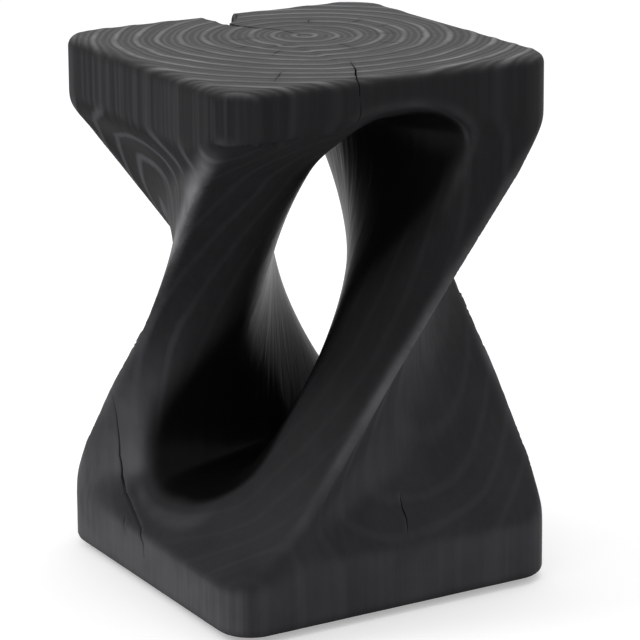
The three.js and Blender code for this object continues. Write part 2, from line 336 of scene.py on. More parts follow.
def noise(vector, scale, detail=2, roughness=0.5):
    node = vector.tree.nodes.new("ShaderNodeTexNoise")
    for name, given in (("Vector", vector), ("Scale", scale), ("Detail", detail), ("Roughness", roughness)):
        plug(vector.tree, node.inputs[name], given)
    return Term(node.outputs[0])


def rounded_max(first, second, radius):
    """The larger of two distances, with a round corner of a given radius where they meet"""
    outside = hypotenuse(largest(first + radius, 0), largest(second + radius, 0))
    return calc("MINIMUM", largest(first, second), -radius) + outside


class SizeInputs:
    """A node group's inputs by the names of the sizes in a PropertyGroup"""

    def __init__(self, tree, groups, with_place):
        self.tree = tree
        self.names = {}
        if with_place:
            tree.interface.new_socket("Place", in_out="INPUT", socket_type="NodeSocketVector")
        for group in groups:
            for key in group.__annotations__:
                shown = group.bl_rna.properties[key]
                if shown.type != "FLOAT" or shown.is_array:
                    continue
                socket = tree.interface.new_socket(
                    shown.name, in_out="INPUT", socket_type="NodeSocketFloat"
                )
                socket.default_value = shown.default
                self.names[key] = socket
        self.node = tree.nodes.new("NodeGroupInput")

    def __getattr__(self, key):
        return Term(self.node.outputs[self.names[key].name])

    def place(self):
        return Term(self.node.outputs["Place"])


def ridge_share(z, start, end, size):
    """Share of its way round one side that a ridge has gone at a height, from the seat down"""
    full = size.block_height - start - end

    def rise(travel):
        eased = (travel + size.bend) ** 2 / (size.bend * 4)
        return mixed(
            calc("GREATER_THAN", travel, -size.bend) * eased,
            travel,
            calc("GREATER_THAN", travel, size.bend),
        )

    def past_crease(beyond):
        left = calc("MINIMUM", largest(1 - beyond / size.slab_fade, 0), 1)
        return 1 - left**size.crease_power

    travel = (full - rise(full - rise(size.block_height - start - z))) / full
    below_seat = past_crease(size.block_height - size.slab - z)
    return 1 - (1 - travel * below_seat) * past_crease(z - size.slab)


def level_corners(z, size):
    """The two ridges at the ends of the front side, at a height. The other two are opposite them"""
    reach = size.side / 2 + size.base_spread / 2 * (1 - z / size.block_height)
    before_mouth = ridge_share(z, size.faded_wood, size.crisp_wood, size)
    before_leg = ridge_share(z, size.crisp_wood, size.faded_wood, size)
    left = (-reach, reach * (before_mouth * 2 - 1))
    right = (reach * (1 - before_leg * 2), -reach)
    return left, right, (before_mouth + before_leg) / 2


def side_distance(x, y, start, end, scoop, power):
    """Distance in front of one side of the level outline, which bows inwards by a scoop"""
    along_x = end[0] - start[0]
    along_y = end[1] - start[1]
    span = hypotenuse(along_x, along_y)
    from_x = x - start[0]
    from_y = y - start[1]
    way = (from_x * along_x + from_y * along_y) / (span * span)
    bow = scoop * largest(1 - calc("ABSOLUTE", way * 2 - 1) ** power, 0)
    return (from_x * along_y - from_y * along_x) / span + bow


def opposite(point):
    return -point[0], -point[1]


def finish_group(tree, outputs):
    end = tree.nodes.new("NodeGroupOutput")
    for name, term in outputs.items():
        tree.interface.new_socket(name, in_out="OUTPUT", socket_type="NodeSocketFloat")
        tree.links.new(term.socket, end.inputs[name])


def block_group():
    """Distance to the skin of the twisted block, as a node group"""
    tree = bpy.data.node_groups.new("Twisted block", "GeometryNodeTree")
    size = SizeInputs(tree, [StoolBodySizes], with_place=True)
    x, y, height = split_vector(size.place())
    z = height - size.stand
    left, right, gone = level_corners(z, size)
    deep = remap(calc("MINIMUM", gone, 1 - gone), 0, SCOOP_FADE_SHARE)
    mouth = size.mouth_scoop * deep, size.scoop_power
    leg = size.leg_scoop * deep, size.scoop_power
    front = side_distance(x, y, left, right, *mouth)
    right_leg = side_distance(x, y, right, opposite(left), *leg)
    back = side_distance(-x, -y, left, right, *mouth)
    left_leg = side_distance(-x, -y, right, opposite(left), *leg)
    above = remap(z, size.slab, size.slab + size.corner_fade)
    below = remap(z, size.block_height - size.slab - size.corner_fade, size.block_height - size.slab, 1, 0)
    slab_corner = mixed(size.base_corner, size.seat_corner, calc("GREATER_THAN", z, size.block_height / 2))
    corner = mixed(slab_corner, size.ridge_radius, above * below)
    pairs = (left_leg, front), (front, right_leg), (right_leg, back), (back, left_leg)
    skin = largest(*(rounded_max(*pair, corner) for pair in pairs))
    topped = rounded_max(skin, z - size.block_height, size.seat_rim)
    ridge = largest(*(calc("MINIMUM", *pair) for pair in pairs))
    finish_group(tree, {"Distance": rounded_max(topped, -z, size.base_rim), "Ridge": ridge})
    return tree


def superellipse(x, y, power):
    """1 on a rounded square's outline, less inside it"""
    return (calc("ABSOLUTE", x) ** power + calc("ABSOLUTE", y) ** power) ** (1 / power)


def tunnel_group():
    """How far a place is from the tunnel's wall, from below zero inside it, and where in a mouth it is"""
    tree = bpy.data.node_groups.new("Twisted tunnel", "GeometryNodeTree")
    size = SizeInputs(tree, [StoolBodySizes], with_place=True)
    x, y, height = split_vector(size.place())
    z = height - size.stand
    left, right, _ = level_corners(z, size)
    side_x = right[0] - left[0]
    side_y = right[1] - left[1]
    span = hypotenuse(side_x, side_y)
    normal = (side_y / span, -side_x / span)
    out_x = left[0] + right[0]
    out_y = left[1] + right[1]
    reach = hypotenuse(out_x, out_y)
    out_x = out_x / reach
    out_y = out_y / reach
    along = x * out_x + y * out_y
    across = y * out_x - x * out_y
    facing = calc("SIGN", along)
    to_skin = (left[0] * normal[0] + left[1] * normal[1]) - facing * across * (
        normal[1] * out_x - normal[0] * out_y
    )
    gone = calc("ABSOLUTE", along) * (out_x * normal[0] + out_y * normal[1]) / to_skin
    gone = calc("MINIMUM", largest(gone, 0), PAST_SKIN_SHARE)
    waist_top = size.block_height - size.waist_crown
    leaning = (z - (size.waist_sill + waist_top) / 2) / (waist_top - size.waist_sill)

    def in_mouth(flare):
        low = mixed(size.waist_sill, size.mouth_sill, flare)
        high = size.block_height - mixed(size.waist_crown, size.mouth_crown, flare)
        half_width = mixed(size.waist_width / 2, span / 2 - size.leg_flank, flare)
        middle = (size.waist_offset + size.waist_lean * leaning) * largest(1 - flare, 0)
        return (across - middle) / half_width, (z * 2 - low - high) / (high - low)

    flank, upright = in_mouth(gone**size.flare_power)
    ring = superellipse(flank, upright, size.squareness)
    pocket = remap(flank * facing * upright / (ring * ring), 0, size.pocket_reach)
    flank, upright = in_mouth(gone ** mixed(size.flare_power, size.pocket_power, pocket))
    ring = superellipse(flank, upright, size.squareness)
    outputs = {
        "Distance": ring - 1,
        "Flank": flank * facing,
        "Upright": upright,
        "Pocket": pocket,
        "Gone": gone,
        "Out X": out_x,
        "Out Y": out_y,
    }
    finish_group(tree, outputs)
    return tree


def group_use(tree, group, size, place):
    """One use of a node group at a place, with the sizes passed on: its outputs by name"""
    node = tree.nodes.new("GeometryNodeGroup")
    node.node_tree = group
    for socket in size.names.values():
        if socket.name in node.inputs:
            tree.links.new(size.node.outputs[socket.name], node.inputs[socket.name])
    plug(tree, node.inputs["Place"], place)
    return {socket.name: Term(socket) for socket in node.outputs}


def slopes(group, size, place, value):
    """How much a group's distance grows along each axis"""
    tree = size.tree
    x, y, z = split_vector(place)
    beside = [(x + SLOPE_STEP, y, z), (x, y + SLOPE_STEP, z), (x, y, z + SLOPE_STEP)]
    return [
        (group_use(tree, group, size, join_vector(tree, *point))["Distance"] - value) / SLOPE_STEP
        for point in beside
    ]


def body_fields(size, place):
    """The carved body's distances at a place, in metres, and what else its two groups tell"""
    block_tree, tunnel_tree = block_group(), tunnel_group()
    block = group_use(size.tree, block_tree, size, place)
    steep = hypotenuse(*slopes(block_tree, size, place, block["Distance"]))
    tunnel = group_use(size.tree, tunnel_tree, size, place)
    by_x, by_y, by_z = slopes(tunnel_tree, size, place, tunnel["Distance"])
    on_way = by_x * tunnel["Out X"] + by_y * tunnel["Out Y"]
    squared = by_x * by_x + by_y * by_y + by_z * by_z - on_way * on_way
    sideways = calc("SQRT", largest(squared, (1 / size.side) ** 2))
    return {
        **tunnel,
        **block,
        "Block": block["Distance"] / largest(steep, 1),
        "Tunnel": tunnel["Distance"] / sideways,
    }


def mouth_edge(size, fields):
    """Rounding of the edge where the tunnel meets the skin, by the place in the mouth"""
    rolled = remap(fields["Flank"], *ROLLED_FLANK, size.rolled_edge, size.arch_edge)
    edge = remap(fields["Flank"], *FIRM_FLANK, rolled, size.firm_edge)
    return mixed(edge, size.arch_edge, fields["Pocket"])


def carved_skin(size, place, normal, carved):
    """The skin of the carved distances as a mesh, with its points evened and then set back on it"""
    tree = size.tree
    margin = size.voxel * 2
    half = size.side / 2 + size.base_spread / 2 + margin
    low = (-half, -half, size.stand - margin)
    high = (half, half, size.stand + size.block_height + margin)
    cube = tree.nodes.new("GeometryNodeVolumeCube")
    plug(tree, cube.inputs["Density"], SKIN_DENSITY - carved / size.voxel)
    plug(tree, cube.inputs["Min"], join_vector(tree, *low))
    plug(tree, cube.inputs["Max"], join_vector(tree, *high))
    for axis, start, end in zip("XYZ", low, high):
        plug(tree, cube.inputs[f"Resolution {axis}"], (end - start) / size.voxel)
    skin = tree.nodes.new("GeometryNodeVolumeToMesh")
    skin.resolution_mode = "GRID"
    skin.inputs["Threshold"].default_value = SKIN_DENSITY
    tree.links.new(cube.outputs[0], skin.inputs[0])

    sanded = tree.nodes.new("GeometryNodeSetPosition")
    tree.links.new(skin.outputs[0], sanded.inputs["Geometry"])
    plug(tree, sanded.inputs["Position"], evened(tree, place, "FLOAT_VECTOR", SANDING_ROUNDS))
    settled = sanded.outputs[0]
    for _ in range(SETTLING_ROUNDS):
        settled = moved_along(tree, settled, normal, -carved)
    return settled


def wood_marks(size, fields, edge, height, normal, end_grain, seat):
    """What the wood's material reads at each point of the skin, from 0 to 1, by name"""
    top = size.stand + size.block_height
    by_x, _, by_z = split_vector(normal)
    leg_side = remap(calc("ABSOLUTE", by_x), *LEG_SIDE_SLANT)
    clear_of_tunnel = 1 - remap(fields["Tunnel"], *TUNNEL_BORDER)
    # Painted shade inside the tunnel: full from some way in from the skin, and sooner in its deep corners
    # and at its sill
    deep = largest(fields["Pocket"], remap(-fields["Upright"], *SILL_STRETCH))
    dark_from = mixed(size.leg_flank, size.pocket_shade, deep)
    inside = remap(fields["Block"], -size.worn_edge, -dark_from) * (1 - seat)

    at_mouth = remap(calc("ABSOLUTE", fields["Block"] + fields["Tunnel"]), size.worn_edge, 0)
    crisp = remap(edge, size.arch_edge * 2, size.arch_edge)
    # Painted highlight along the ridges, fainter near the foot
    above_foot = remap(height, *(size.block_height * share for share in FOOT_TOP), FOOT_RIDGE_HIGHLIGHT, 1)
    ridge_highlight_share = remap(fields["Ridge"], *(size.ridge_radius * share for share in RIDGE_BAND)) * above_foot
    # Painted highlight along the rims of the hollows under the seat, on the leg sides
    under_seat = remap(height, *(top - size.block_height * share for share in HOLLOW_FLOOR))
    under_seat = under_seat * remap(height, *(top - size.slab * share for share in HOLLOW_ROOF))
    rim_highlight_share = remap(fields["Ridge"], -size.rim_highlight_width, -size.rim_highlight_width / 3) * leg_side * under_seat
    rim_highlight_share = rim_highlight_share * remap(fields["Flank"], *RIM_FLANK)
    return {
        # Pale edges: wear along the mouth, and painted highlights along the ridges and the rims
        "wear_and_highlight": largest(at_mouth * crisp * MOUTH_WEAR, ridge_highlight_share * RIDGE_HIGHLIGHT, rim_highlight_share),
        "end_grain": end_grain,
        "seat": seat,
        "inside": inside,
        "waist": remap(fields["Gone"], *WAIST_STRETCH),
        "leg_side": leg_side,
        "upright": remap(calc("ABSOLUTE", by_z), *UPRIGHT_SLANT) * clear_of_tunnel,
        "overhang": remap(-by_z, *OVERHANG_SLANT) * (1 - inside),
        "slope": remap(by_z, *SLOPE_SLANT) * (1 - seat),
    }


def body_tree():
    """The carved body as a node tree: a field of distances in a volume, its skin, and the cuts in it"""
    tree = bpy.data.node_groups.new("Carved body", "GeometryNodeTree")
    tree.interface.new_socket("Geometry", in_out="OUTPUT", socket_type="NodeSocketGeometry")
    cuts = tree.interface.new_socket("Cuts", in_out="INPUT", socket_type="NodeSocketObject")
    wood = tree.interface.new_socket("Wood", in_out="INPUT", socket_type="NodeSocketMaterial")
    size = SizeInputs(tree, [StoolBodySizes, StoolWoodLook], with_place=False)
    size.names.update(cuts=cuts, wood=wood)

    place = Term(tree.nodes.new("GeometryNodeInputPosition").outputs[0])
    normal = Term(tree.nodes.new("GeometryNodeInputNormal").outputs[0])
    fields = body_fields(size, place)
    edge = mouth_edge(size, fields)
    carved = calc("SMOOTH_MAX", fields["Block"], -fields["Tunnel"], edge * CUBIC_ROUNDING)
    skin = carved_skin(size, place, normal, carved)

    height = split_vector(place)[2]
    top = size.stand + size.block_height
    end_grain = remap(calc("ABSOLUTE", split_vector(normal)[2]), *END_GRAIN_SLANT)
    seat = end_grain * remap(height, top - size.seat_rim, top - size.seat_rim / 4)
    groove = (1 - ring_height(place, size)) * mixed(SIDE_RELIEF_SHARE, 1, seat)
    brushed = moved_along(tree, skin, normal, -(groove * size.ring_relief))

    marked = sawn(tree, brushed, size.cuts)
    for name, value in wood_marks(size, fields, edge, height, normal, end_grain, seat).items():
        marked = kept_attribute(tree, marked, name, value)
    finish_mesh(tree, marked, size.wood)
    return tree, size


def moved_along(tree, socket, way, amount):
    """Moves each point of the mesh along a direction"""
    step = tree.nodes.new("ShaderNodeVectorMath")
    step.operation = "SCALE"
    plug(tree, step.inputs[0], way)
    plug(tree, step.inputs["Scale"], amount)
    node = tree.nodes.new("GeometryNodeSetPosition")
    tree.links.new(socket, node.inputs["Geometry"])
    tree.links.new(step.outputs[0], node.inputs["Offset"])
    return node.outputs["Geometry"]


def sawn(tree, socket, cuts):
    """The mesh with the cuts taken out of it"""
    saw = tree.nodes.new("GeometryNodeObjectInfo")
    plug(tree, saw.inputs["Object"], cuts)
    cut = tree.nodes.new("GeometryNodeMeshBoolean")
    cut.operation = "DIFFERENCE"
    tree.links.new(socket, cut.inputs["Mesh 1"])
    tree.links.new(saw.outputs["Geometry"], cut.inputs["Mesh 2"])
    return cut.outputs["Mesh"]


def evened(tree, value, kind, rounds):
    """A value at each point of the mesh, evened with those beside it a number of times"""
    node = tree.nodes.new("GeometryNodeBlurAttribute")
    node.data_type = kind
    node.inputs["Iterations"].default_value = rounds
    plug(tree, next(s for s in node.inputs if s.enabled), value)
    return Term(next(s for s in node.outputs if s.enabled))


def kept_attribute(tree, socket, name, value):
    """Keeps a value at each point of the mesh, evened out a little, for the material to read"""
    node = tree.nodes.new("GeometryNodeStoreNamedAttribute")
    node.inputs["Name"].default_value = name
    tree.links.new(socket, node.inputs["Geometry"])
    plug(tree, node.inputs["Value"], evened(tree, value, "FLOAT", MARK_ROUNDS))
    return node.outputs["Geometry"]


def finish_mesh(tree, socket, wood):
    """Ends a tree: real geometry, smooth but for its creases, with its material"""
    real = tree.nodes.new("GeometryNodeRealizeInstances")
    tree.links.new(socket, real.inputs[0])
    soft = tree.nodes.new("GeometryNodeSetShadeSmooth")
    tree.links.new(real.outputs[0], soft.inputs["Geometry"])
    angle = tree.nodes.new("GeometryNodeInputMeshEdgeAngle")
    flat_enough = calc("LESS_THAN", Term(angle.outputs["Unsigned Angle"]), CREASE_ANGLE)
    creased = tree.nodes.new("GeometryNodeSetShadeSmooth")
    creased.domain = "EDGE"
    tree.links.new(soft.outputs[0], creased.inputs["Geometry"])
    plug(tree, creased.inputs["Shade Smooth"], flat_enough)
    paint = tree.nodes.new("GeometryNodeSetMaterial")
    tree.links.new(creased.outputs[0], paint.inputs["Geometry"])
    plug(tree, paint.inputs["Material"], wood)
    end = tree.nodes.new("NodeGroupOutput")
    tree.links.new(paint.outputs[0], end.inputs[0])


def ring_height(place, look, crest=RELIEF_CREST, spacing=None):
    """How high the brushed wood stands at a place, from 0 in a groove to 1 on a ring"""
    x, y, z = split_vector(place)
    stretched = join_vector(place.tree, x, y, z * RING_CLIMB)
    wander = sum((noise(stretched, scale) - 0.5) * look.ring_wave * share for scale, share in RING_WANDERS)
    from_heart = hypotenuse(x - look.heart_x, y - look.heart_y) + wander
    turn = calc("FRACT", from_heart / (spacing or look.ring_spacing))
    return remap(calc("ABSOLUTE", turn - 0.5), crest, crest * RING_FLAT_SHARE)


def prism(mesh, outline, low, high, axis="Z"):
    """Adds a prism over a closed outline, which lies across one axis and is drawn out along it"""
    turned = {
        "X": lambda first, second, along: (along, first, second),
        "Y": lambda first, second, along: (first, along, second),
        "Z": lambda first, second, along: (first, second, along),
    }[axis]
    bottom = [mesh.verts.new(turned(*point, low)) for point in outline]
    top = [mesh.verts.new(turned(*point, high)) for point in outline]
    mesh.faces.new(bottom[::-1])
    mesh.faces.new(top)
    for i in range(len(outline)):
        j = (i + 1) % len(outline)
        mesh.faces.new((bottom[i], bottom[j], top[j], top[i]))


def crack_outline(path, width):
    """The outline of a crack along a path, widest in the middle and pointed at both ends"""
    points = [Vector(point) for point in path]
    last = len(points) - 1
    sides = []
    for i, point in enumerate(points[1:-1], 1):
        way = (points[i + 1] - points[i - 1]).normalized()
        reach = width / 2 * math.sin(math.pi * i / last)
        sides.append((point + Vector((-way.y, way.x)) * reach, point - Vector((-way.y, way.x)) * reach))
    return [points[0], *(left for left, _ in sides), points[last], *(right for _, right in reversed(sides))]


def split_outline(sizes):
    """The drying split seen from above: a wide mouth at the back, a neck, and a thin tip"""
    mouth = (sizes.side / 2 + CUT_OVERRUN) / MM
    stations = [
        (mouth, -18, 19),
        (137, -16.5, 16),
        (126, -14.5, 9),
        (116, -14.8, 0),
        (106, -15.5, -9.5),
        (90, -8.5, -4.5),
        (77, -0.5, 2),
        (60, 12, 13.6),
        (33, 16.4, 17),
    ]
    left = [(low * MM, y * MM) for y, low, _ in stations]
    right = [(high * MM, y * MM) for y, _, high in stations]
    return (left + right[::-1])[::-1]


def add_cracks(mesh, sizes, cuts):
    """Adds the drying cracks of the seat, the front and the left side"""
    top = sizes.stand + sizes.block_height
    half = sizes.side / 2
    wide, thin = cuts.crack_width, cuts.check_width
    seat_front = (-5, -84), (-14, -104), (-20, -118), (-31, -136), (-37, -148), (-38, -165)
    seat_left = (-71, -92), (-84, -108), (-99, -126)
    arch = (-37, 430), (-36, 418), (-37.5, 406), (-37, 392)
    front_foot = (15, 90), (13, 79), (13.5, 72), (9, 60)
    left_foot_top = (66, 150), (71, 118), (73, 92), (67, 75)
    left_foot = *left_foot_top, (56, 64), (33, 54), (12, 46), (5, 36), (4, 24)
    left_base = (44, 50), (41, 45), (38, 36)
    for path, width in ((seat_front, wide), (seat_left, thin)):
        points = [(x * MM, y * MM) for x, y in path]
        prism(mesh, crack_outline(points, width), top - cuts.check_depth, top + cuts.check_depth)
    side_cracks = (
        (arch, thin, 4 * MM, "Y"),
        (front_foot, wide, 30 * MM, "Y"),
        (left_foot, wide * 2, 15 * MM, "X"),
        (left_base, thin, 8 * MM, "X"),
    )
    for path, width, depth, axis in side_cracks:
        points = [(across * MM, sizes.stand + height * MM) for across, height in path]
        prism(mesh, crack_outline(points, width), -half - CRACK_OVERRUN, depth - half, axis)


def add_checks(mesh, sizes, cuts, look):
    """Adds the small checks of the seat, which point away from the log's heart"""
    top = sizes.stand + sizes.block_height
    random = np.random.default_rng(cuts.seed)
    jitter = random.uniform(-CHECK_JITTER, CHECK_JITTER, cuts.checks)
    for turn in np.linspace(*CHECK_TURNS, cuts.checks, endpoint=False) + jitter:
        start = random.uniform(*CHECK_STARTS)
        end = start + random.uniform(*CHECK_LENGTHS)
        middle = turn + random.uniform(-CHECK_BEND, CHECK_BEND)
        if any(low < turn < high for low, high in CLEAR_TURNS):
            continue
        path = [
            (
                look.heart_x + reach * MM * math.cos(math.radians(angle)),
                look.heart_y + reach * MM * math.sin(math.radians(angle)),
            )
            for reach, angle in ((start, turn), ((start + end) / 2, middle), (end, turn))
        ]
        prism(mesh, crack_outline(path, cuts.check_width), top - cuts.check_depth, top + cuts.check_depth)


def glide_places():
    """The middle of each glide, seen from above"""
    boxes = [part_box(f"glide_nail_{i}") for i in GLIDES]
    return [((low + high) / 2).to_2d() for low, high in boxes]


def link_object(name, data):
    made = bpy.data.objects.new(name, data)
    bpy.context.scene.collection.objects.link(made)
    return made


def cuts_object(sizes, cuts, look):
    """The split, the cracks and the nail holes as one object that the body is cut with"""
    mesh = bmesh.new()
    top = sizes.stand + sizes.block_height
    prism(mesh, split_outline(sizes), top - cuts.split_depth, top + CUT_OVERRUN)
    add_cracks(mesh, sizes, cuts)
    add_checks(mesh, sizes, cuts, look)
    turns = np.linspace(0, 2 * math.pi, NAIL_HOLE_SIDES, endpoint=False)
    for place in glide_places():
        circle = [
            (place.x + cuts.nail_hole * math.cos(turn), place.y + cuts.nail_hole * math.sin(turn))
            for turn in turns
        ]
        prism(mesh, circle, sizes.stand - CUT_OVERRUN, sizes.stand + cuts.nail_depth)
    made = bpy.data.meshes.new("cuts")
    bmesh.ops.recalc_face_normals(mesh, faces=mesh.faces)
    mesh.to_mesh(made)
    mesh.free()
    return link_object("cuts", made)


def material(name):
    made = bpy.data.materials.new(name)
    made.use_nodes = True
    made.node_tree.nodes.clear()
    shader = made.node_tree.nodes.new("ShaderNodeBsdfPrincipled")
    end = made.node_tree.nodes.new("ShaderNodeOutputMaterial")
    made.node_tree.links.new(shader.outputs[0], end.inputs["Surface"])
    return made, shader


def object_place(tree):
    node = tree.nodes.new("ShaderNodeTexCoord")
    return Term(node.outputs["Object"])


def mixed_colour(tree, low, high, amount):
    node = tree.nodes.new("ShaderNodeMix")
    node.data_type = "RGBA"
    plug(tree, node.inputs["Factor"], amount)
    for name, given in (("A", low), ("B", high)):
        socket = next(s for s in node.inputs if s.name == name and s.type == "RGBA")
        plug(tree, socket, given if isinstance(given, Term) else (*given, 1))
    return Term(next(s for s in node.outputs if s.type == "RGBA"))


def mesh_value(tree, name):
    node = tree.nodes.new("ShaderNodeAttribute")
    node.attribute_name = name
    return Term(node.outputs["Fac"])


# Scales of the wood's patterns, in repeats to a metre
CLOUDS = 14
BREAKS = 24
PALE_EDGE_SPOTS = 22
FIBRES = 420
STREAKS = 150
FINE_RINGS = 260
CHISEL_MARKS = 55

# How fast a pattern changes up the log, as a share of how fast it does so across it
FIBRE_CLIMB = 0.02
FINE_RING_CLIMB = 0.01
CHISEL_CLIMB = 0.12

# Half widths of the rings that are seen, as shares of their spacing
RING_CREST = 0.2
THIN_RING_CREST = 0.35
THIN_RINGS = 3

# How a pattern's values become a share of a tone: from and to, and the least and the most of it
GRAIN_RANGE = 0.35, 0.7
SCUFF_AND_BOUNCE_PATCHES = 0.3, 0.7, 0.55, 1
RING_BREAKS = 0.3, 0.7, 0.45, 1
RING_PATCHES = 0.3, 0.6, 0.6, 1
LIT_STREAK_RANGE = 0.45, 0.75, 0, 0.5
LIT_STREAK_PATCHES = 0.4, 0.6
PALE_EDGE_PATCHES = 0.25, 0.75, 0.3, 0.9
SEAT_GRAIN = 0, 1, 0.75, 1

# Shares of the paler and darker tones, among them the paler foot with its painted bounce light, and the
# painted shade on slopes
FAINT_GRAIN = 0.15
GRAIN_SHARE = 0.23
SIDE_RING_SHARE = 0.07
THIN_RING_SHARE = 0.22
FRONT_SCUFF_AND_BOUNCE = 0.17
UPRIGHT_SCUFF_AND_BOUNCE = 0.3
SLOPE_LESS_SCUFF_AND_BOUNCE = 0.7
SLOPE_SHADE = 0.5

# Shine and relief of the stained wood
OUTSIDE_ROUGHNESS = 0.58
INSIDE_ROUGHNESS = 0.34
OVERHANG_DRYNESS = 0.2
FIBRE_DRYNESS = 0.2
WOOD_SPECULAR = 0.05
BUMP_STRENGTH = 0.5
BUMP_DISTANCE = 0.5 * MM
FIBRE_RELIEF = 0.3
STREAK_RELIEF = 0.6
WAIST_STREAK_RELIEF = 2.5
RING_RELIEF = 0.6
CHISEL_RELIEF = 2


def wood_material(look):
    """Black-stained log wood: growth rings about the heart of the log, seen on every cut face, with painted
    shade in the tunnel and painted highlights on the ridges and rims
    """
    made, shader = material("Black stained log")
    tree = made.node_tree
    marks = ("seat", "end_grain", "wear_and_highlight", "inside", "waist", "leg_side", "upright", "overhang", "slope")
    seat, end_grain, wear_and_highlight, inside, waist, leg_side, upright, overhang, slope = (
        mesh_value(tree, name) for name in marks
    )
    place = object_place(tree)
    x, y, z = split_vector(place)
    ring = ring_height(place, look, RING_CREST)
    thin_ring = ring_height(place, look, THIN_RING_CREST, look.ring_spacing / THIN_RINGS)
    cloud = noise(place, CLOUDS, 3)
    across = join_vector(tree, x, y, z * FIBRE_CLIMB)
    fibre = noise(across, FIBRES, 3, 0.6)
    streak = noise(across, STREAKS, 2, 0.6)
    from_heart = hypotenuse(x - look.heart_x, y - look.heart_y)
    fine_ring = noise(join_vector(tree, from_heart, z * FINE_RING_CLIMB, 0), FINE_RINGS)
    chisel = noise(join_vector(tree, x, y, z * CHISEL_CLIMB), CHISEL_MARKS)

    striped = upright * mixed(FAINT_GRAIN, 1, leg_side)
    grain = remap(mixed(streak, fine_ring, end_grain), *GRAIN_RANGE)
    grain = grain * mixed(FAINT_GRAIN, 1, largest(striped, seat))
    # Paler foot: scuffs, and painted bounce light off the floor, strongest on the upright leg sides and
    # weaker on the front
    scuff_and_bounce = remap(z, look.scuff_and_bounce, look.scuff_and_bounce / 4) * remap(cloud, *SCUFF_AND_BOUNCE_PATCHES)
    faced = largest(leg_side * (1 - slope * SLOPE_LESS_SCUFF_AND_BOUNCE), upright * UPRIGHT_SCUFF_AND_BOUNCE)
    scuff_and_bounce = scuff_and_bounce * mixed(FRONT_SCUFF_AND_BOUNCE, 1, faced)
    pale = calc("MINIMUM", grain * GRAIN_SHARE + ring * SIDE_RING_SHARE + scuff_and_bounce, 1)
    sides = mixed_colour(tree, look.stain, look.thin_stain, pale)
    sides = mixed_colour(tree, sides, look.arc_wood, ring * overhang * leg_side)
    # Painted light: paler streaks in the tunnel's waist, where light through the tunnel falls, which lift
    # the painted shade there
    lit_streaks = waist * remap(streak, *LIT_STREAK_RANGE) * remap(cloud, *LIT_STREAK_PATCHES)
    # Painted shade: black inside the tunnel, except in its lit streaks, and on the upward slopes of the leg
    # sides
    dark = largest(inside * (1 - lit_streaks), slope * leg_side * SLOPE_SHADE)
    sides = mixed_colour(tree, sides, look.painted_shade, dark)

    broken = remap(noise(place, BREAKS, 3), *RING_BREAKS) * remap(cloud, *RING_PATCHES)
    ringed = largest(ring * broken, thin_ring * THIN_RING_SHARE)
    seat_tone = mixed_colour(tree, look.seat_wood, look.ring_wood, ringed)
    tone = mixed_colour(tree, sides, seat_tone, seat * remap(grain, *SEAT_GRAIN))
    # Pale edges: worn at the mouth, and a painted highlight on the ridges and rims
    rubbed = wear_and_highlight * remap(noise(place, PALE_EDGE_SPOTS, 3), *PALE_EDGE_PATCHES)
    plug(tree, shader.inputs["Base Color"], mixed_colour(tree, tone, look.bare_wood_and_highlight, rubbed))

    dry = mixed(OUTSIDE_ROUGHNESS, INSIDE_ROUGHNESS, inside) + overhang * OVERHANG_DRYNESS
    plug(tree, shader.inputs["Roughness"], dry + (fibre - 0.5) * FIBRE_DRYNESS)
    shader.inputs["Specular IOR Level"].default_value = WOOD_SPECULAR
    along_grain = fibre * FIBRE_RELIEF + streak * mixed(STREAK_RELIEF, WAIST_STREAK_RELIEF, waist)
    relief = along_grain + ring * seat * RING_RELIEF + chisel * (1 - seat) * CHISEL_RELIEF
    add_bump(tree, shader, relief, BUMP_DISTANCE, BUMP_STRENGTH)
    return made


def add_bump(tree, shader, height, distance, strength=1):
    bump = tree.nodes.new("ShaderNodeBump")
    bump.inputs["Strength"].default_value = strength
    bump.inputs["Distance"].default_value = distance
    plug(tree, bump.inputs["Height"], height)
    tree.links.new(bump.outputs[0], shader.inputs["Normal"])


SPECK_SHADE = 0.7
SPECK_RELIEF = 0.1 * MM


def plain_material(name, base, roughness, metallic=0, grain=900):
    """A finish of one colour, with fine specks that show in its tone and its surface"""
    made, shader = material(name)
    tree = made.node_tree
    speck = noise(object_place(tree), grain, 3)
    dark = [channel * SPECK_SHADE for channel in base]
    plug(tree, shader.inputs["Base Color"], mixed_colour(tree, dark, base, speck))
    shader.inputs["Roughness"].default_value = roughness
    shader.inputs["Metallic"].default_value = metallic
    add_bump(tree, shader, speck, SPECK_RELIEF)
    return made


def grown(name, tree, values):
    """Runs a node tree once and keeps its result as a plain mesh object"""
    seed = link_object(f"{name}_tree", bpy.data.meshes.new(f"{name}_tree"))
    modifier = seed.modifiers.new("grow", "NODES")
    modifier.node_group = tree
    for identifier, value in values.items():
        modifier[identifier] = value
    graph = bpy.context.evaluated_depsgraph_get()
    mesh = bpy.data.meshes.new_from_object(seed.evaluated_get(graph), depsgraph=graph)
    mesh.name = name
    bpy.data.objects.remove(seed)
    if not mesh.polygons:
        raise RuntimeError(f"{name} came out empty")
    return link_object(name, mesh)


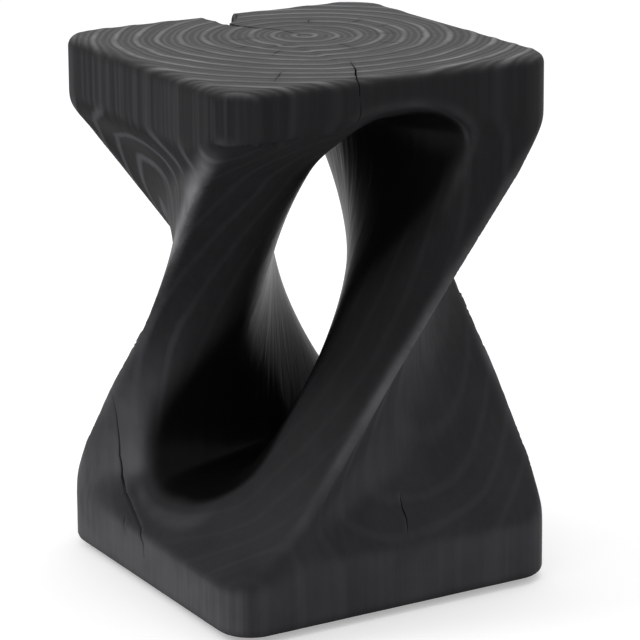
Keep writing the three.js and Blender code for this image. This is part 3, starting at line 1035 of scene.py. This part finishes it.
class STOOL_OT_carved_body(bpy.types.Operator):
    """Carves the body: the twisted block, its tunnel, the drying split and the growth rings"""

    bl_idname = "stool.carved_body"
    bl_label = "Carved Body"

    def execute(self, context):
        sizes = context.scene.stool_body
        look = context.scene.stool_wood
        cuts = cuts_object(sizes, context.scene.stool_cuts, look)
        given = {"cuts": cuts, "wood": wood_material(look)}
        tree, inputs = body_tree()
        values = {}
        for key, socket in inputs.names.items():
            owner = sizes if key in StoolBodySizes.__annotations__ else look
            values[socket.identifier] = given[key] if key in given else getattr(owner, key)
        piece = grown("stool_body", tree, values)
        bpy.data.objects.remove(cuts)
        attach(piece, "root")
        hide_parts("carved_body")
        return {"FINISHED"}


class STOOL_OT_floor_glides(bpy.types.Operator):
    """Finishes the four floor glides with their nails and felt pads"""

    bl_idname = "stool.floor_glides"
    bl_label = "Floor Glides"

    def execute(self, context):
        look = context.scene.stool_glides
        finishes = {
            "glide_base": plain_material("Moulded nylon", look.nylon, roughness=0.5),
            "glide_nail": plain_material("Bright steel", look.steel, roughness=0.3, metallic=1, grain=300),
            "glide_felt": plain_material("Brown felt", look.felt, roughness=0.95, grain=2500),
        }
        for kind, finish in finishes.items():
            for i in GLIDES:
                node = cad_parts[f"{kind}_{i}"]
                node.data.materials.clear()
                node.data.materials.append(finish)
        return {"FINISHED"}


PHOTO_PIXELS = 640
SENSOR = 36
CAMERA_REACH = 100
FLOOR_REACH = 6

# Soft lamps, with places and sizes in metres and powers in watts
LAMPS = {
    "overhead_light": {"place": (0.6, -0.2, 2.6), "size": (1.6, 1.6), "power": 12},
    "left_light": {"place": (-1.8, 1.1, 1.9), "size": (1.0, 1.4), "power": 20},
}


def area_light(name, place, size, power, aim):
    lamp = bpy.data.lights.new(name, "AREA")
    lamp.shape = "RECTANGLE"
    lamp.size, lamp.size_y = size
    lamp.energy = power
    made = link_object(name, lamp)
    made.location = place
    made.rotation_euler = (aim - Vector(place)).to_track_quat("-Z", "Y").to_euler()
    return made


def photo_camera(stage, middle):
    """The camera at the photograph's viewing angle"""
    pixels = stage.lens / SENSOR * PHOTO_PIXELS
    centre = PHOTO_PIXELS / 2
    azimuth = math.radians(stage.azimuth)
    elevation = math.radians(stage.elevation)
    back = Vector((
        math.sin(azimuth) * math.cos(elevation),
        -math.cos(azimuth) * math.cos(elevation),
        math.sin(elevation),
    ))
    pan = azimuth + math.atan((stage.aim_x - centre) / pixels)
    pitch = elevation + math.atan((centre - stage.aim_y) / pixels)
    facing = Vector((math.sin(pan) * math.cos(pitch), -math.cos(pan) * math.cos(pitch), math.sin(pitch)))
    right = Vector((math.cos(pan), math.sin(pan), 0))
    turn = Matrix((right, facing.cross(right), facing)).transposed().to_4x4()
    data = bpy.data.cameras.new("photo_camera")
    data.lens = stage.lens
    data.sensor_width = SENSOR
    data.clip_end = CAMERA_REACH
    made = link_object("photo_camera", data)
    made.matrix_world = (
        Matrix.Translation(middle + back * stage.distance)
        @ turn
        @ Matrix.Rotation(math.radians(stage.roll), 4, "Z")
    )
    bpy.context.scene.camera = made


def seen_share(tree):
    """1 for what the camera sees, straight or in gloss or glass, and 0 for the light on the scene"""
    rays = tree.nodes.new("ShaderNodeLightPath")
    return largest(*(Term(rays.outputs[f"Is {kind} Ray"]) for kind in ("Camera", "Glossy", "Transmission")))


def floor_material(stage):
    """A matt floor that is white where the light falls on it freely, and keeps the stool's shadow"""
    made, shader = material("Pale floor")
    tree = made.node_tree
    shader.inputs["Base Color"].default_value = (*stage.floor, 1)
    shader.inputs["Roughness"].default_value = 1
    shader.inputs["Specular IOR Level"].default_value = 0
    shader.inputs["Emission Color"].default_value = (1, 1, 1, 1)
    plug(tree, shader.inputs["Emission Strength"], seen_share(tree) * stage.floor_lift)
    return made


class STOOL_OT_stage(bpy.types.Operator):
    """Puts down the floor, the soft lights and the camera of the photograph"""

    bl_idname = "stool.stage"
    bl_label = "Stage"

    def execute(self, context):
        stage = context.scene.stool_stage
        body = context.scene.stool_body
        middle = Vector((0, 0, body.stand + body.block_height / 2))
        photo_camera(stage, middle)
        context.scene.view_settings.view_transform = "Standard"

        mesh = bmesh.new()
        bmesh.ops.create_grid(mesh, x_segments=1, y_segments=1, size=FLOOR_REACH)
        floor_mesh = bpy.data.meshes.new("floor")
        mesh.to_mesh(floor_mesh)
        mesh.free()
        floor = link_object("floor", floor_mesh)
        floor_mesh.materials.append(floor_material(stage))

        world = bpy.data.worlds.new("Soft studio")
        world.use_nodes = True
        context.scene.world = world
        tree = world.node_tree
        tree.nodes.clear()
        sky = tree.nodes.new("ShaderNodeBackground")
        sky.inputs["Color"].default_value = (1, 1, 1, 1)
        plug(tree, sky.inputs["Strength"], mixed(stage.sky, 1, seen_share(tree)))
        end = tree.nodes.new("ShaderNodeOutputWorld")
        tree.links.new(sky.outputs[0], end.inputs["Surface"])

        for name, lamp in LAMPS.items():
            area_light(name, **lamp, aim=middle)
        return {"FINISHED"}


class STOOL_PT_panel(bpy.types.Panel):
    """Lists the steps that make the stool, and their sizes and colours"""

    bl_idname = "STOOL_PT_panel"
    bl_label = "Carved Twist Stool"
    bl_space_type = "VIEW_3D"
    bl_region_type = "UI"
    bl_category = "Stool"

    def draw(self, context):
        layout = self.layout
        for operator in OPERATORS:
            layout.operator(operator.bl_idname)
        for name, group in GROUPS.items():
            box = layout.box()
            for key in group.__annotations__:
                box.prop(getattr(context.scene, name), key)


GROUPS = {
    "stool_body": StoolBodySizes,
    "stool_wood": StoolWoodLook,
    "stool_cuts": StoolCutSizes,
    "stool_glides": StoolGlideLook,
    "stool_stage": StoolStageLook,
}
OPERATORS = (STOOL_OT_carved_body, STOOL_OT_floor_glides, STOOL_OT_stage)
CLASSES = (*GROUPS.values(), *OPERATORS, STOOL_PT_panel)


def register():
    for made in CLASSES:
        bpy.utils.register_class(made)
    for name, group in GROUPS.items():
        setattr(bpy.types.Scene, name, PointerProperty(type=group))


def unregister():
    for name in GROUPS:
        delattr(bpy.types.Scene, name)
    for made in reversed(CLASSES):
        bpy.utils.unregister_class(made)


def main():
    register()
    bpy.ops.stool.carved_body()
    bpy.ops.stool.floor_glides()
    bpy.ops.stool.stage()


if __name__ == "__main__":
    main()
